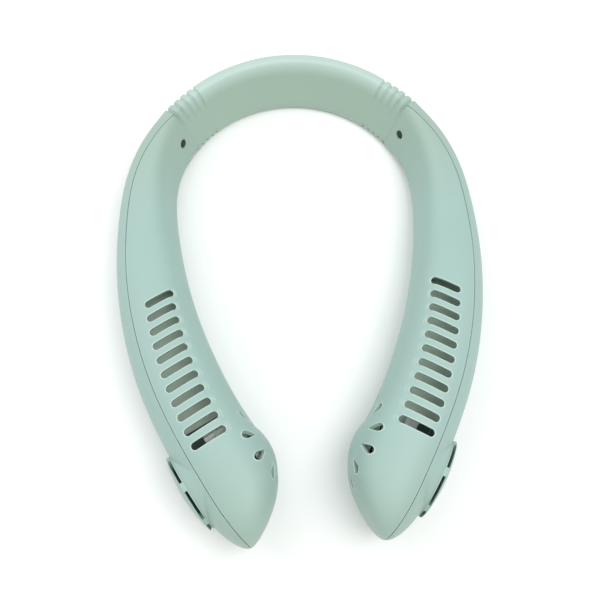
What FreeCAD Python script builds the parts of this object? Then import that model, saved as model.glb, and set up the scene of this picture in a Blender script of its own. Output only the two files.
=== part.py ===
# Electric neck fan: a soft band, two ribbed sleeves and two hollow arms, each with a fan in its front end.
# Lengths are in millimetres and angles in degrees. The fan lies as it rests on a table: +Z is up,
# +Y points to the nape and +X to the arm that holds the controls.
import FreeCAD
import Part
import Sketcher
import math
import os
from FreeCAD import Placement, Rotation, Vector

SIZES = {
    # plan of the centre line, from the nape to the nose of an arm
    "neck_radius": 80.0,
    "band_half_angle": 37.0,
    "root_angle": 50.5,
    "shoulder_angle": 86.5,
    "arm_radius": 231.0,
    "arm_angle": 32.6,
    "front_run": 25.0,
    "nose_length": 32.5,
    "nose_shift": 9.5,
    "fan_setback": 6.0,
    "fan_turn_angle": 1.0,
    # sections across the centre line
    "band_thickness": 10.5,
    "band_height": 32.0,
    "band_tilt_angle": 26.0,
    "root_thickness": 11.2,
    "root_height": 33.0,
    "fan_thickness": 43.2,
    "fan_height": 55.5,
    "rest_flat_depth": 0.5,
    # covers and fits
    "cover_wall": 2.0,
    "nose_wall": 3.2,
    "seam_gap": 0.25,
    "fit_gap": 0.3,
    "running_gap": 0.05,
    "overrun": 5.0,
    # air outlets
    "outlet_start": 110.8,
    "outlet_pitch": 7.53,
    "outlet_first_offset": 3.5,
    "outlet_width": 3.8,
    "outlet_first_length": 15.4,
    "outlet_last_length": 18.4,
    "outlet_first_sweep_angle": 18.0,
    "outlet_last_sweep_angle": 0.0,
    "outlet_depth": 9.0,
    "scoop_radius": 5.0,
    "scoop_depth": 0.8,
    # inner intake
    "dome_radius": 28.0,
    "dome_rise": 2.2,
    "leaf_inner_radius": 15.2,
    "leaf_outer_radius": 24.6,
    "leaf_half_width": 2.1,
    "leaf_floor": 4.0,
    # outer intake cap
    "cap_radius": 20.5,
    "cap_seat_level": 20.4,
    "cap_boss_level": 10.5,
    "cap_boss_radius": 25.6,
    "cap_bore_radius": 17.0,
    "cap_rim_height": 2.4,
    "cap_crown": 2.9,
    "cap_wall": 1.4,
    "cap_window_height": 1.4,
    "cap_window_foot": 0.7,
    "cap_spigot": 2.0,
    "cap_spigot_wall": 1.3,
    "cap_window_angle": 47.0,
    "cap_window_turn_angle": 23.5,
    # ribbed sleeves
    "rib_depth": 1.3,
    "rib_margin": 1.6,
    "sleeve_wall": 1.6,
    "plug_length": 3.0,
    # spring strip and link cable
    "strip_thickness": 0.7,
    "strip_width": 10.0,
    "strip_offset": 5.5,
    "cable_radius": 1.1,
    "cable_offset": 6.5,
    # anchor block and its screw
    "anchor_length": 8.0,
    "anchor_screw_reach": 5.5,
    "anchor_head_radius": 2.2,
    "anchor_head_height": 0.9,
    "anchor_recess": 1.3,
    "anchor_shank_radius": 1.1,
    "anchor_shank_length": 5.0,
    # cover screws and their posts
    "post_radius": 3.0,
    "post_rear_at": 52.0,
    "post_front_at": 166.0,
    "post_drop": 7.0,
    "screw_head_radius": 2.1,
    "screw_head_height": 1.4,
    "screw_shank_radius": 1.0,
    "screw_grip": 2.0,
    "screw_bite": 7.0,
    # battery and duct wall
    "battery_radius": 7.5,
    "battery_length": 46.0,
    "battery_at": 94.0,
    "cradle_length": 30.0,
    "duct_wall_thickness": 1.4,
    "duct_wall_start": 36.0,
    "duct_wall_end": 175.5,
    # motor and impeller, along the fan axis
    "plate_level": 16.0,
    "plate_radius": 12.6,
    "plate_thickness": 1.6,
    "motor_screw_circle": 11.1,
    "motor_screw_head_radius": 1.3,
    "motor_screw_head_height": 0.7,
    "motor_screw_radius": 0.7,
    "motor_screw_length": 4.0,
    "stator_radius": 8.0,
    "stator_height": 8.0,
    "stator_slot_width": 1.8,
    "stator_slot_depth": 3.4,
    "bush_radius": 2.2,
    "shaft_radius": 1.0,
    "can_gap": 0.7,
    "can_wall": 0.9,
    "can_lift": 1.2,
    "hub_wall": 1.2,
    "disc_thickness": 1.2,
    "impeller_radius": 21.0,
    "blade_inner_radius": 12.6,
    "blade_thickness": 0.9,
    "blade_height": 13.0,
    "blade_lean_angle": 32.0,
    # controls in the right arm
    "board_at": 133.0,
    "board_length": 30.0,
    "board_height": 14.0,
    "board_thickness": 1.2,
    "board_offset": 3.2,
    "board_floor": 3.2,
    "socket_width": 8.9,
    "socket_depth": 3.2,
    "socket_height": 7.3,
    "socket_wall": 0.3,
    "socket_tongue": 0.7,
    "socket_lift": 1.9,
    "switch_side": 6.0,
    "switch_height": 3.4,
    "switch_bore_radius": 1.7,
    "switch_bore_depth": 1.8,
    "button_radius": 4.0,
    "button_proud": 0.9,
    "button_flange": 1.0,
    "button_flange_thickness": 1.2,
    "button_stem_radius": 1.6,
    "button_entry": 0.6,
    "button_at": 8.0,
    "control_height": 12.0,
    "light_radius": 1.4,
    "light_at": 10.0,
    "chip_side": 5.0,
    "chip_height": 1.0,
}

OUTLET_COUNT = 11
LEAF_COUNT = 12
RIB_COUNT = 4
CAP_WINDOW_COUNT = 6
BLADE_COUNT = 11
STATOR_SLOT_COUNT = 6
MOTOR_SCREW_COUNT = 3
CHIP_COUNT = 3
SECTION_POINT_COUNT = 16
PATH_STEP_COUNT = 8
QUARTER_TURN = 90

# Growth of the arm from root to fan, as powers of the share of its length.
THICKNESS_GROWTH_POWER = 2.3
TILT_FADE_POWER = 3.5
ROOT_SECTION_POWER = 3.6
ARM_SECTION_POWER = 2.5
NOSE_ROUND_SHARE = 0.45
NOSE_HEIGHT_POWER = 3.2
SEAM_SHARE = 0.6
LEAF_PHASE_SHARE = 0.42
SPLIT_REACH_SHARE = 0.75
ARM_STATION_SHARES = (0.0, 0.08, 0.18, 0.3, 0.45, 0.6, 0.75, 0.88, 1.0)
NOSE_STATION_SHARES = (0.3, 0.55, 0.75, 0.88, 0.96, 0.99)

doc = FreeCAD.newDocument("NeckFan")
sheet = doc.addObject("Spreadsheet::Sheet", "Sizes")
for row, (alias, value) in enumerate(SIZES.items(), start=1):
    sheet.set(f"A{row}", alias)
    sheet.set(f"B{row}", str(value))
    sheet.setAlias(f"B{row}", alias)
doc.recompute()


class SheetSizes:
    """The sheet's cells as plain numbers, by alias."""

    def __getattr__(self, alias):
        return float(sheet.get(alias))


size = SheetSizes()
subparts = {}
UP = Vector(0, 0, 1)
MIRROR_AXIS = Vector(1, 0, 0)


# Centre line

def plan_direction(angle):
    """Unit plan vector at an angle from +Y towards +X."""
    return Vector(math.sin(math.radians(angle)), math.cos(math.radians(angle)), 0)


NECK_RUN = math.radians(size.shoulder_angle - size.root_angle) * size.neck_radius
ARM_RUN = math.radians(size.arm_angle) * size.arm_radius
WIDEST_AT = NECK_RUN + ARM_RUN + size.front_run
FAN_AT = WIDEST_AT - size.fan_setback


def path_frame(distance):
    """Centre and outward direction at a distance from the arm's root."""
    if distance <= NECK_RUN:
        angle = size.root_angle + math.degrees(distance / size.neck_radius)
        return plan_direction(angle) * size.neck_radius, plan_direction(angle)
    pivot = plan_direction(size.shoulder_angle) * (size.neck_radius - size.arm_radius)
    swept = min(distance - NECK_RUN, ARM_RUN)
    angle = size.shoulder_angle + math.degrees(swept / size.arm_radius)
    outward = plan_direction(angle)
    straight = distance - NECK_RUN - swept
    return pivot + outward * size.arm_radius + plan_direction(angle + QUARTER_TURN) * straight, outward


# Sections

class Section:
    """A tilted superellipse across the centre line, described by its half sizes."""

    def __init__(self, centre, outward, half_thickness, half_height, tilt, power, middle):
        self.centre = centre
        self.outward = outward
        self.half_thickness = half_thickness
        self.half_height = half_height
        self.tilt = tilt
        self.power = power
        self.middle = middle
        self.across_axis = outward * math.cos(tilt) - UP * math.sin(tilt)
        self.up_axis = outward * math.sin(tilt) + UP * math.cos(tilt)
        self.heading = Vector(outward.y, -outward.x, 0)

    def point(self, across, up):
        return self.centre + UP * self.middle + self.across_axis * across + self.up_axis * up

    def reach(self, up):
        """Distance from the middle to the side face, at a height in the section."""
        share = min(abs(up) / self.half_height, 1.0)
        return self.half_thickness * (1 - share ** self.power) ** (1 / self.power)

    def wire(self):
        points = []
        for index in range(SECTION_POINT_COUNT):
            turn = 2 * math.pi * index / SECTION_POINT_COUNT - math.pi / 2
            across = math.cos(turn)
            up = math.sin(turn)
            points.append(self.point(
                math.copysign(self.half_thickness * abs(across) ** (2 / self.power), across),
                math.copysign(self.half_height * abs(up) ** (2 / self.power), up),
            ))
        curve = Part.BSplineCurve()
        curve.interpolate(Points=points, PeriodicFlag=True)
        return Part.Wire([curve.toShape()])


def drop_below_middle(half_thickness, half_height, tilt, power):
    """How far a tilted superellipse reaches below its middle."""
    dual = power / (power - 1)
    sideways = (half_thickness * abs(math.sin(tilt))) ** dual
    upright = (half_height * math.cos(tilt)) ** dual
    return (sideways + upright) ** (1 / dual)


def mixed(start, end, share):
    return start + (end - start) * share


def sleeve_section(angle, inset):
    """Section of the band, and of the sleeves that widen from it to the roots of the arms."""
    share = (abs(angle) - size.band_half_angle) / (size.root_angle - size.band_half_angle)
    share = max(share, 0.0)
    half_thickness = mixed(size.band_thickness, size.root_thickness, share) / 2
    half_height = mixed(size.band_height, size.root_height, share) / 2
    tilt = math.radians(size.band_tilt_angle)
    drop = drop_below_middle(half_thickness, half_height, tilt, ROOT_SECTION_POWER)
    outward = plan_direction(angle)
    return Section(outward * size.neck_radius, outward, half_thickness - inset, half_height - inset,
                   tilt, ROOT_SECTION_POWER, drop - size.rest_flat_depth)


def arm_section(distance, inset=0.0):
    """Section of an arm at a distance from its root. Past the fan it shrinks towards the nose."""
    share = min(distance / WIDEST_AT, 1.0)
    fade = (1 - share) ** TILT_FADE_POWER
    half_thickness = mixed(size.root_thickness, size.fan_thickness,
                           1 - (1 - share) ** THICKNESS_GROWTH_POWER) / 2
    half_height = mixed(size.root_height, size.fan_height, share * share * (3 - 2 * share)) / 2
    tilt = math.radians(size.band_tilt_angle) * fade
    power = mixed(ARM_SECTION_POWER, ROOT_SECTION_POWER, fade)
    middle = drop_below_middle(half_thickness, half_height, tilt, power) - size.rest_flat_depth
    half_thickness -= inset
    half_height -= inset
    if distance > WIDEST_AT:
        nose_length = size.nose_length - size.nose_wall * inset / size.cover_wall
        ahead = min((distance - WIDEST_AT) / nose_length, 1.0)
        round_share = math.sqrt(1 - ahead * ahead)
        half_thickness *= mixed(round_share * round_share, round_share, NOSE_ROUND_SHARE)
        half_height *= (1 - ahead ** NOSE_HEIGHT_POWER) ** (1 / NOSE_HEIGHT_POWER)
    centre, outward = path_frame(distance)
    return Section(centre + outward * nose_drift(distance), outward, half_thickness, half_height, tilt,
                   power, middle)


def nose_drift(distance):
    """How far the nose has swung outwards from the straight line past the widest section."""
    ahead = max((distance - WIDEST_AT) / size.nose_length, 0.0)
    return size.nose_shift * ahead * ahead


def arm_loft(inset, start):
    """The arm's form, drawn in by an inset, from a start ahead of or behind the root to the nose."""
    nose_length = size.nose_length - size.nose_wall * inset / size.cover_wall
    distances = [start] + [WIDEST_AT * share for share in ARM_STATION_SHARES[1:]]
    distances += [WIDEST_AT + nose_length * share for share in NOSE_STATION_SHARES]
    wires = [arm_section(distance, inset).wire() for distance in distances]
    tip = arm_section(WIDEST_AT + nose_length, inset)
    wires.append(Part.Vertex(tip.point(0, 0)))
    return Part.makeLoft(wires, True, False)


# Helpers for solids

def plan_prism(edges, low, high):
    """An upright prism on a closed outline drawn at height zero."""
    face = Part.Face(Part.Wire(Part.__sortEdges__(edges)))
    prism = face.extrude(UP * (high - low))
    prism.translate(UP * low)
    return prism


def polygon_edges(points):
    return [Part.makeLine(start, end) for start, end in zip(points, points[1:])]


def path_strip(start, end, low, high):
    """An upright slab along the centre line between two distances, wider than the arm."""
    reach = size.fan_thickness
    shares = [step / PATH_STEP_COUNT for step in range(PATH_STEP_COUNT + 1)]
    frames = [path_frame(mixed(start, end, share)) for share in shares]
    outer = [centre + outward * reach for centre, outward in frames]
    inner = [centre - outward * reach for centre, outward in reversed(frames)]
    points = outer + inner
    return plan_prism(polygon_edges(points + points[:1]), low, high)


def rod(start, axis, radius, length):
    return Part.makeCylinder(radius, length, start, axis)


def stadium_edges(centre, along, length, width):
    """Outline of a round-ended slot in the plan."""
    across = Vector(-along.y, along.x, 0)
    straight = along * ((length - width) / 2)
    corner = across * (width / 2)
    tip = along * (length / 2)
    return [
        Part.makeLine(centre - straight - corner, centre + straight - corner),
        Part.Arc(centre + straight - corner, centre + tip, centre + straight + corner).toShape(),
        Part.makeLine(centre + straight + corner, centre - straight + corner),
        Part.Arc(centre - straight + corner, centre - tip, centre - straight - corner).toShape(),
    ]


def rest_cut(shape):
    """The shape with what lies below the table taken off."""
    reach = 2 * (size.neck_radius + size.fan_height)
    below = Part.makeBox(2 * reach, 2 * reach, reach, Vector(-reach, -reach - size.arm_radius / 2, -reach))
    return shape.cut(below)


def add_shape(label, shape):
    """A sub-part whose free form is set as a shape. It gets its place once the centring is known."""
    feature = doc.addObject("Part::Feature", label)
    feature.Shape = shape
    subparts[label] = feature
    return feature


def add_object(label, feature):
    feature.Label = label
    subparts[label] = feature
    return feature


# Fan frame: local Z points out of the arm along the fan axis, local Y is up

FAN_MIDDLE = arm_section(FAN_AT).middle
FAN_ANGLE = size.shoulder_angle + size.arm_angle + size.fan_turn_angle


def fan_frame(side):
    centre, _ = path_frame(FAN_AT)
    outward = plan_direction(FAN_ANGLE)
    centre = Vector(side * centre.x, centre.y, FAN_MIDDLE)
    outward = Vector(side * outward.x, outward.y, 0)
    return Placement(centre, Rotation(UP.cross(outward), UP, outward, "ZYX"))


def in_fan_frame(shape):
    """A shape drawn in the fan frame, moved to the right arm."""
    placed = shape.copy()
    placed.Placement = fan_frame(1).multiply(shape.Placement)
    return placed


def fan_rod(radius, low, high):
    return in_fan_frame(rod(UP * low, UP, radius, high - low))


# Cover tools

def seam_point(distance, shift):
    centre, outward = path_frame(distance)
    if distance <= WIDEST_AT:
        offset = SEAM_SHARE * arm_section(distance).half_thickness
    else:
        ahead = (distance - WIDEST_AT) / size.nose_length
        offset = SEAM_SHARE * size.fan_thickness / 2 * (1 - ahead * ahead)
    return centre + outward * (offset + nose_drift(distance) + shift)


def outer_side(shift):
    """All that lies outside the seam, as an upright prism. The shift moves the seam outwards."""
    ends = (-size.overrun, WIDEST_AT + size.nose_length + size.overrun)
    distances = [ends[0]] + [WIDEST_AT * share for share in ARM_STATION_SHARES]
    distances += [WIDEST_AT + size.nose_length * share for share in NOSE_STATION_SHARES] + [ends[1]]
    points = [seam_point(distance, shift) for distance in distances]
    curve = Part.BSplineCurve()
    curve.interpolate(points)
    reach = SPLIT_REACH_SHARE * size.neck_radius
    far = [points[-1], points[-1] + path_frame(ends[1])[1] * reach,
           plan_direction(size.shoulder_angle) * (size.neck_radius + reach),
           points[0] + path_frame(ends[0])[1] * reach, points[0]]
    return plan_prism([curve.toShape()] + polygon_edges(far), -size.overrun, size.fan_height + size.overrun)


def outlet_scoop(distance, inward):
    """A ball that dips into the cover at the inner end of an air outlet."""
    section = arm_section(distance)
    across = inward / section.half_thickness
    up = (1 - across ** section.power) ** (1 / section.power)
    lean = across ** (section.power - 1) / section.half_thickness
    stand = up ** (section.power - 1) / section.half_height
    normal = (section.up_axis * stand - section.across_axis * lean).normalize()
    place = section.point(-inward, up * section.half_height)
    ball = Part.makeSphere(size.scoop_radius)
    ball.Placement = Placement(place + normal * (size.scoop_radius - size.scoop_depth),
                               Rotation(normal, section.heading.cross(normal), section.heading, "ZXY"))
    return ball


def outlet_tools():
    tools = []
    for index in range(OUTLET_COUNT):
        distance = size.outlet_start + index * size.outlet_pitch
        section = arm_section(distance)
        share = index / (OUTLET_COUNT - 1)
        length = mixed(size.outlet_first_length, size.outlet_last_length, share)
        sweep = math.radians(mixed(size.outlet_first_sweep_angle, size.outlet_last_sweep_angle, share))
        along = section.outward * math.cos(sweep) + section.heading * math.sin(sweep)
        top = section.middle + section.half_height
        offset = mixed(size.outlet_first_offset, 0.0, share)
        edges = stadium_edges(section.centre - section.outward * offset, along, length, size.outlet_width)
        tools.append(plan_prism(edges, top - size.outlet_depth, top + size.overrun))
        tools.append(outlet_scoop(distance - math.sin(sweep) * length / 2,
                                  offset + math.cos(sweep) * length / 2))
    return tools


def leaf_tools():
    """Leaf-shaped prisms round the fan axis, pointed towards the hub."""
    middle = size.leaf_outer_radius - size.leaf_half_width
    lean = math.asin(size.leaf_half_width / (middle - size.leaf_inner_radius))
    shoulder_x = middle - size.leaf_half_width * math.sin(lean)
    shoulder_y = size.leaf_half_width * math.cos(lean)
    point = Vector(size.leaf_inner_radius, 0, 0)
    low = Vector(shoulder_x, -shoulder_y, 0)
    high = Vector(shoulder_x, shoulder_y, 0)
    edges = [Part.makeLine(point, low),
             Part.Arc(low, Vector(size.leaf_outer_radius, 0, 0), high).toShape(),
             Part.makeLine(high, point)]
    reach = size.fan_thickness / 2 + size.dome_rise + size.overrun
    leaf = plan_prism(edges, -reach, -size.leaf_floor)
    tools = []
    for index in range(LEAF_COUNT):
        turned = leaf.copy()
        turned.rotate(Vector(0, 0, 0), UP, 360 * (index + LEAF_PHASE_SHARE) / LEAF_COUNT)
        tools.append(in_fan_frame(turned))
    return tools


def post_sections():
    return [arm_section(distance) for distance in (size.post_rear_at, size.post_front_at)]


def post_seat(section):
    """Distance from a post's middle to the face under the screw head."""
    return SEAM_SHARE * section.half_thickness + size.seam_gap + size.screw_grip


def post_tool(section, radius, start, end):
    return rod(section.point(start, -size.post_drop), section.across_axis, radius, end - start)


ANCHOR_SECTION = arm_section(size.plug_length + size.fit_gap + size.anchor_length / 2)


def anchor_screw_seat():
    """Face under the anchor screw's head, below the bottom of its recess in the cover."""
    return ANCHOR_SECTION.half_thickness - size.anchor_recess


def make_covers():
    """Inner and outer cover of the right arm, before the openings for the controls."""
    form = arm_loft(0.0, 0.0)
    cavity = arm_loft(size.cover_wall, -size.overrun)
    dome_middle = UP * (size.dome_radius - size.fan_thickness / 2 - size.dome_rise)
    dome = in_fan_frame(Part.makeSphere(size.dome_radius, dome_middle))
    dome_hollow = in_fan_frame(Part.makeSphere(size.dome_radius - size.cover_wall, dome_middle))
    inner_half = fan_rod(size.fan_height, -size.fan_height, 0.0)
    body = form.fuse(dome.common(inner_half))
    hollow = cavity.fuse(dome_hollow.common(inner_half))
    casing = body.cut(hollow)
    posts = [post_tool(section, size.post_radius, -section.half_thickness, section.half_thickness)
             for section in post_sections()]
    hub = fan_rod(size.plate_radius, -size.fan_thickness, -size.plate_level)
    casing = rest_cut(casing.fuse([post.common(form) for post in posts] + [hub.common(body)]))

    inner = casing.cut(outer_side(0.0))
    inner = inner.cut(outlet_tools() + leaf_tools())
    outer = casing.common(outer_side(size.seam_gap))
    boss = in_fan_frame(Part.makeCone(size.cap_boss_radius, size.cap_radius,
                                      size.cap_seat_level - size.cap_boss_level,
                                      UP * size.cap_boss_level))
    outer = outer.fuse(boss.common(outer_side(size.seam_gap)))
    outer = outer.cut([
        fan_rod(size.cap_radius + size.fit_gap, size.cap_seat_level, size.fan_thickness),
        fan_rod(size.cap_bore_radius, 0.0, size.fan_thickness),
    ])
    for section in post_sections():
        seat = post_seat(section)
        clear = size.screw_shank_radius + size.fit_gap
        outer = outer.cut([
            post_tool(section, size.screw_head_radius + size.fit_gap, seat, seat + size.fan_thickness),
            post_tool(section, clear, 0.0, seat),
        ])
        bite_start = SEAM_SHARE * section.half_thickness - size.screw_bite - size.fit_gap
        inner = inner.cut(post_tool(section, size.screw_shank_radius + size.running_gap, bite_start,
                                    section.half_thickness))
    recess = rod(ANCHOR_SECTION.point(-anchor_screw_seat(), 0), ANCHOR_SECTION.across_axis * -1,
                 size.anchor_head_radius + size.fit_gap, size.overrun)
    shank = rod(ANCHOR_SECTION.point(0, 0), ANCHOR_SECTION.across_axis * -1,
                size.anchor_shank_radius + size.fit_gap, ANCHOR_SECTION.half_thickness)
    inner = inner.cut([recess, shank])
    hub_holes = [in_fan_frame(rod(place - UP * size.motor_screw_length, UP,
                                  size.motor_screw_radius + size.running_gap,
                                  size.motor_screw_length + size.overrun))
                 for place in motor_screw_places()]
    inner = inner.cut(hub_holes)
    return inner, outer


def motor_screw_places():
    """Points on the hub's face, in the fan frame, where the motor screws enter."""
    places = []
    for index in range(MOTOR_SCREW_COUNT):
        turn = 2 * math.pi * (index + 0.25) / MOTOR_SCREW_COUNT
        spoke = Vector(math.cos(turn), math.sin(turn), 0)
        places.append(spoke * size.motor_screw_circle - UP * size.plate_level)
    return places


# Band, sleeves, strip and cable

def turned_about_neck(face, end_angle):
    """A face at minus the end angle, turned about the neck's axis to plus the end angle."""
    return face.revolve(Vector(0, 0, 0), UP * -1, 2 * end_angle)


def strip_wire(angle, grow):
    section = sleeve_section(0.0, 0.0)
    half_thickness = size.strip_thickness / 2 + grow
    half_width = size.strip_width / 2 + grow
    corners = [(-half_thickness, -half_width), (half_thickness, -half_width),
               (half_thickness, half_width), (-half_thickness, half_width)]
    points = [section.point(across, size.strip_offset + up) for across, up in corners]
    wire = Part.Wire(polygon_edges(points + points[:1]))
    wire.rotate(Vector(0, 0, 0), UP * -1, angle)
    return wire


def cable_wire(angle, grow):
    section = sleeve_section(0.0, 0.0)
    circle = Part.Circle(section.point(0, -size.cable_offset), section.heading, size.cable_radius + grow)
    wire = Part.Wire([circle.toShape()])
    wire.rotate(Vector(0, 0, 0), UP * -1, angle)
    return wire


def anchor_end_angle():
    grip = size.plug_length + size.fit_gap + size.anchor_length
    return size.root_angle + math.degrees(grip / size.neck_radius)


def make_band():
    start = -size.band_half_angle
    face = Part.Face([sleeve_section(start, 0.0).wire(), strip_wire(start, size.fit_gap),
                      cable_wire(start, size.fit_gap)])
    face.validate()
    return rest_cut(turned_about_neck(face, size.band_half_angle))


def make_strip(grow):
    end = anchor_end_angle()
    return turned_about_neck(Part.Face(strip_wire(-end, grow)), end)


def make_cable(grow):
    end = anchor_end_angle()
    return turned_about_neck(Part.Face(cable_wire(-end, grow)), end)


def sleeve_sections(inset):
    """Sections of the right sleeve from the band to the root, in and out over each ridge."""
    run = math.radians(size.root_angle - size.band_half_angle) * size.neck_radius - 2 * size.rib_margin
    pitch = run / RIB_COUNT
    quarter = pitch / 4
    places = [(0.0, 0.0)]
    for index in range(RIB_COUNT):
        start = size.rib_margin + index * pitch
        places += [(start, size.rib_depth), (start + quarter, 0.0),
                   (start + 2 * quarter, 0.0), (start + 3 * quarter, size.rib_depth)]
    places.append((run + 2 * size.rib_margin, 0.0))
    sections = []
    for along, depth in places:
        angle = size.band_half_angle + math.degrees(along / size.neck_radius)
        sections.append(sleeve_section(angle, depth if inset == 0.0 else inset))
    return sections


def make_sleeve(core):
    """The right ribbed sleeve with its bore and the plug that enters the arm."""
    ribbed = Part.makeLoft([section.wire() for section in sleeve_sections(0.0)], True, True)
    plug_inset = size.cover_wall + size.fit_gap
    plug = core.common(path_strip(0.0, size.plug_length, -size.overrun, size.fan_height))
    bore_inset = size.rib_depth + size.sleeve_wall
    bore = Part.makeLoft([section.wire() for section in sleeve_sections(bore_inset)], True, True)
    plug_bore = Part.makeLoft([arm_section(distance, plug_inset + size.sleeve_wall).wire()
                               for distance in (0.0, size.plug_length)], True, True)
    return rest_cut(ribbed.fuse(plug).cut([bore, plug_bore]))


# Pieces held inside an arm

def make_anchor(core):
    start = size.plug_length + size.fit_gap
    block = core.common(path_strip(start, start + size.anchor_length, -size.overrun, size.fan_height))
    hole = rod(ANCHOR_SECTION.point(0, 0), ANCHOR_SECTION.across_axis * -1,
               size.anchor_shank_radius + size.running_gap, ANCHOR_SECTION.half_thickness)
    return block.cut([make_strip(size.fit_gap), make_cable(size.fit_gap), hole])


def battery_frame():
    """Middle of the cell, on the floor of the arm, with its axis along the arm."""
    section = arm_section(size.battery_at)
    height = size.cover_wall - size.rest_flat_depth + 2 * size.fit_gap + size.battery_radius
    return Vector(section.centre.x, section.centre.y, height), section.heading


def duct_wall_level():
    """Underside of the wall that parts the duct from the cell. It clears the cell and the front post."""
    middle, _ = battery_frame()
    post = arm_section(size.post_front_at)
    return max(middle.z + size.battery_radius, post.middle - size.post_drop + size.post_radius) + size.fit_gap


def make_duct_wall(core):
    level = duct_wall_level()
    return core.common(path_strip(size.duct_wall_start, size.duct_wall_end, level,
                                  level + size.duct_wall_thickness))


def make_cradle(core):
    middle, heading = battery_frame()
    half = size.cradle_length / 2
    saddle = core.common(path_strip(size.battery_at - half, size.battery_at + half, -size.overrun, middle.z))
    groove = rod(middle - heading * size.battery_length, heading, size.battery_radius + size.fit_gap,
                 2 * size.battery_length)
    return saddle.cut(groove)


# Pieces bound to the sheet

def bound(feature, **expressions):
    """Ties a feature's properties to sheet cells."""
    for name, expression in expressions.items():
        feature.setExpression(name.replace("__", "."), expression)
    return feature


def cylinder(name, radius, height, base=None):
    """A cylinder on local Z. One without a base can be placed as a piece of its own."""
    feature = bound(doc.addObject("Part::Cylinder", name), Radius=radius, Height=height)
    return bound(feature, Placement__Base__z=base) if base else feature


def block(name, length, width, height, **corner):
    """A block from a corner given as x, y and z. One without a corner can be placed as a piece of its own."""
    feature = bound(doc.addObject("Part::Box", name), Length=length, Width=width, Height=height)
    return bound(feature, **{f"Placement__Base__{axis}": place for axis, place in corner.items()})


def fused(name, features):
    feature = doc.addObject("Part::MultiFuse", name)
    feature.Shapes = features
    return feature


def cut(name, base, tool):
    feature = doc.addObject("Part::Cut", name)
    feature.Base = base
    feature.Tool = tool
    return feature


def origin_plane(body, role):
    return next(item for item in body.Origin.OriginFeatures if item.Role == role)


def body_sketch(body, name, lift="0"):
    """A sketch on the body's own ground plane, lifted along its axis."""
    sketch = body.newObject("Sketcher::SketchObject", name)
    sketch.AttachmentSupport = (origin_plane(body, "XY_Plane"), [""])
    sketch.MapMode = "FlatFace"
    sketch.setExpression(".AttachmentOffset.Base.z", lift)
    return sketch


def add_circle(sketch, radius):
    index = sketch.addGeometry(Part.Circle(Vector(0, 0, 0), UP, 1.0), False)
    sketch.addConstraint(Sketcher.Constraint("Coincident", index, 3, -1, 1))
    rule = sketch.addConstraint(Sketcher.Constraint("Radius", index, 1.0))
    sketch.setExpression(f"Constraints[{rule}]", radius)


def add_rectangle(sketch, left, right, half_width):
    """A rectangle along the sketch's X axis, from left to right, the same to both sides."""
    corners = [Vector(1, -1, 0), Vector(2, -1, 0), Vector(2, 1, 0), Vector(1, 1, 0)]
    first = sketch.GeometryCount
    for start, end in zip(corners, corners[1:] + corners[:1]):
        sketch.addGeometry(Part.LineSegment(start, end), False)
    for side in range(4):
        sketch.addConstraint(Sketcher.Constraint("Coincident", first + side, 2, first + (side + 1) % 4, 1))
    for side in (0, 2):
        sketch.addConstraint(Sketcher.Constraint("Horizontal", first + side))
        sketch.addConstraint(Sketcher.Constraint("Vertical", first + side + 1))
    rules = (("DistanceX", left, first),
             ("DistanceX", right, first + 1),
             ("DistanceY", half_width, first + 2))
    for kind, expression, corner in rules:
        rule = sketch.addConstraint(Sketcher.Constraint(kind, -1, 1, corner, 1, 1.0))
        sketch.setExpression(f"Constraints[{rule}]", expression)
    rule = sketch.addConstraint(Sketcher.Constraint("DistanceY", first + 1, 1, first + 1, 2, 1.0))
    sketch.setExpression(f"Constraints[{rule}]", f"2 * ({half_width})")


def pad(body, sketch, length):
    feature = body.newObject("PartDesign::Pad", sketch.Name + "Pad")
    feature.Profile = sketch
    feature.setExpression("Length", length)
    return feature


def around_axis(body, original, count):
    """Copies of a feature round the body's axis."""
    pattern = body.newObject("PartDesign::PolarPattern", original.Name + "Ring")
    pattern.Originals = [original]
    pattern.Axis = (origin_plane(body, "Z_Axis"), [""])
    pattern.Angle = 360
    pattern.Occurrences = count
    body.Tip = pattern
    return pattern


def crown_ball(name, inset):
    """The ball whose top is the crown of a cap, drawn in by an inset."""
    radius = "(Sizes.cap_radius^2 + Sizes.cap_crown^2) / (2 * Sizes.cap_crown)"
    return bound(doc.addObject("Part::Sphere", name), Radius=f"{radius} - {inset}",
                 Placement__Base__z=f"Sizes.cap_rim_height + Sizes.cap_crown - {radius}")


def common(name, base, tool):
    feature = doc.addObject("Part::Common", name)
    feature.Base = base
    feature.Tool = tool
    return feature


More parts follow.
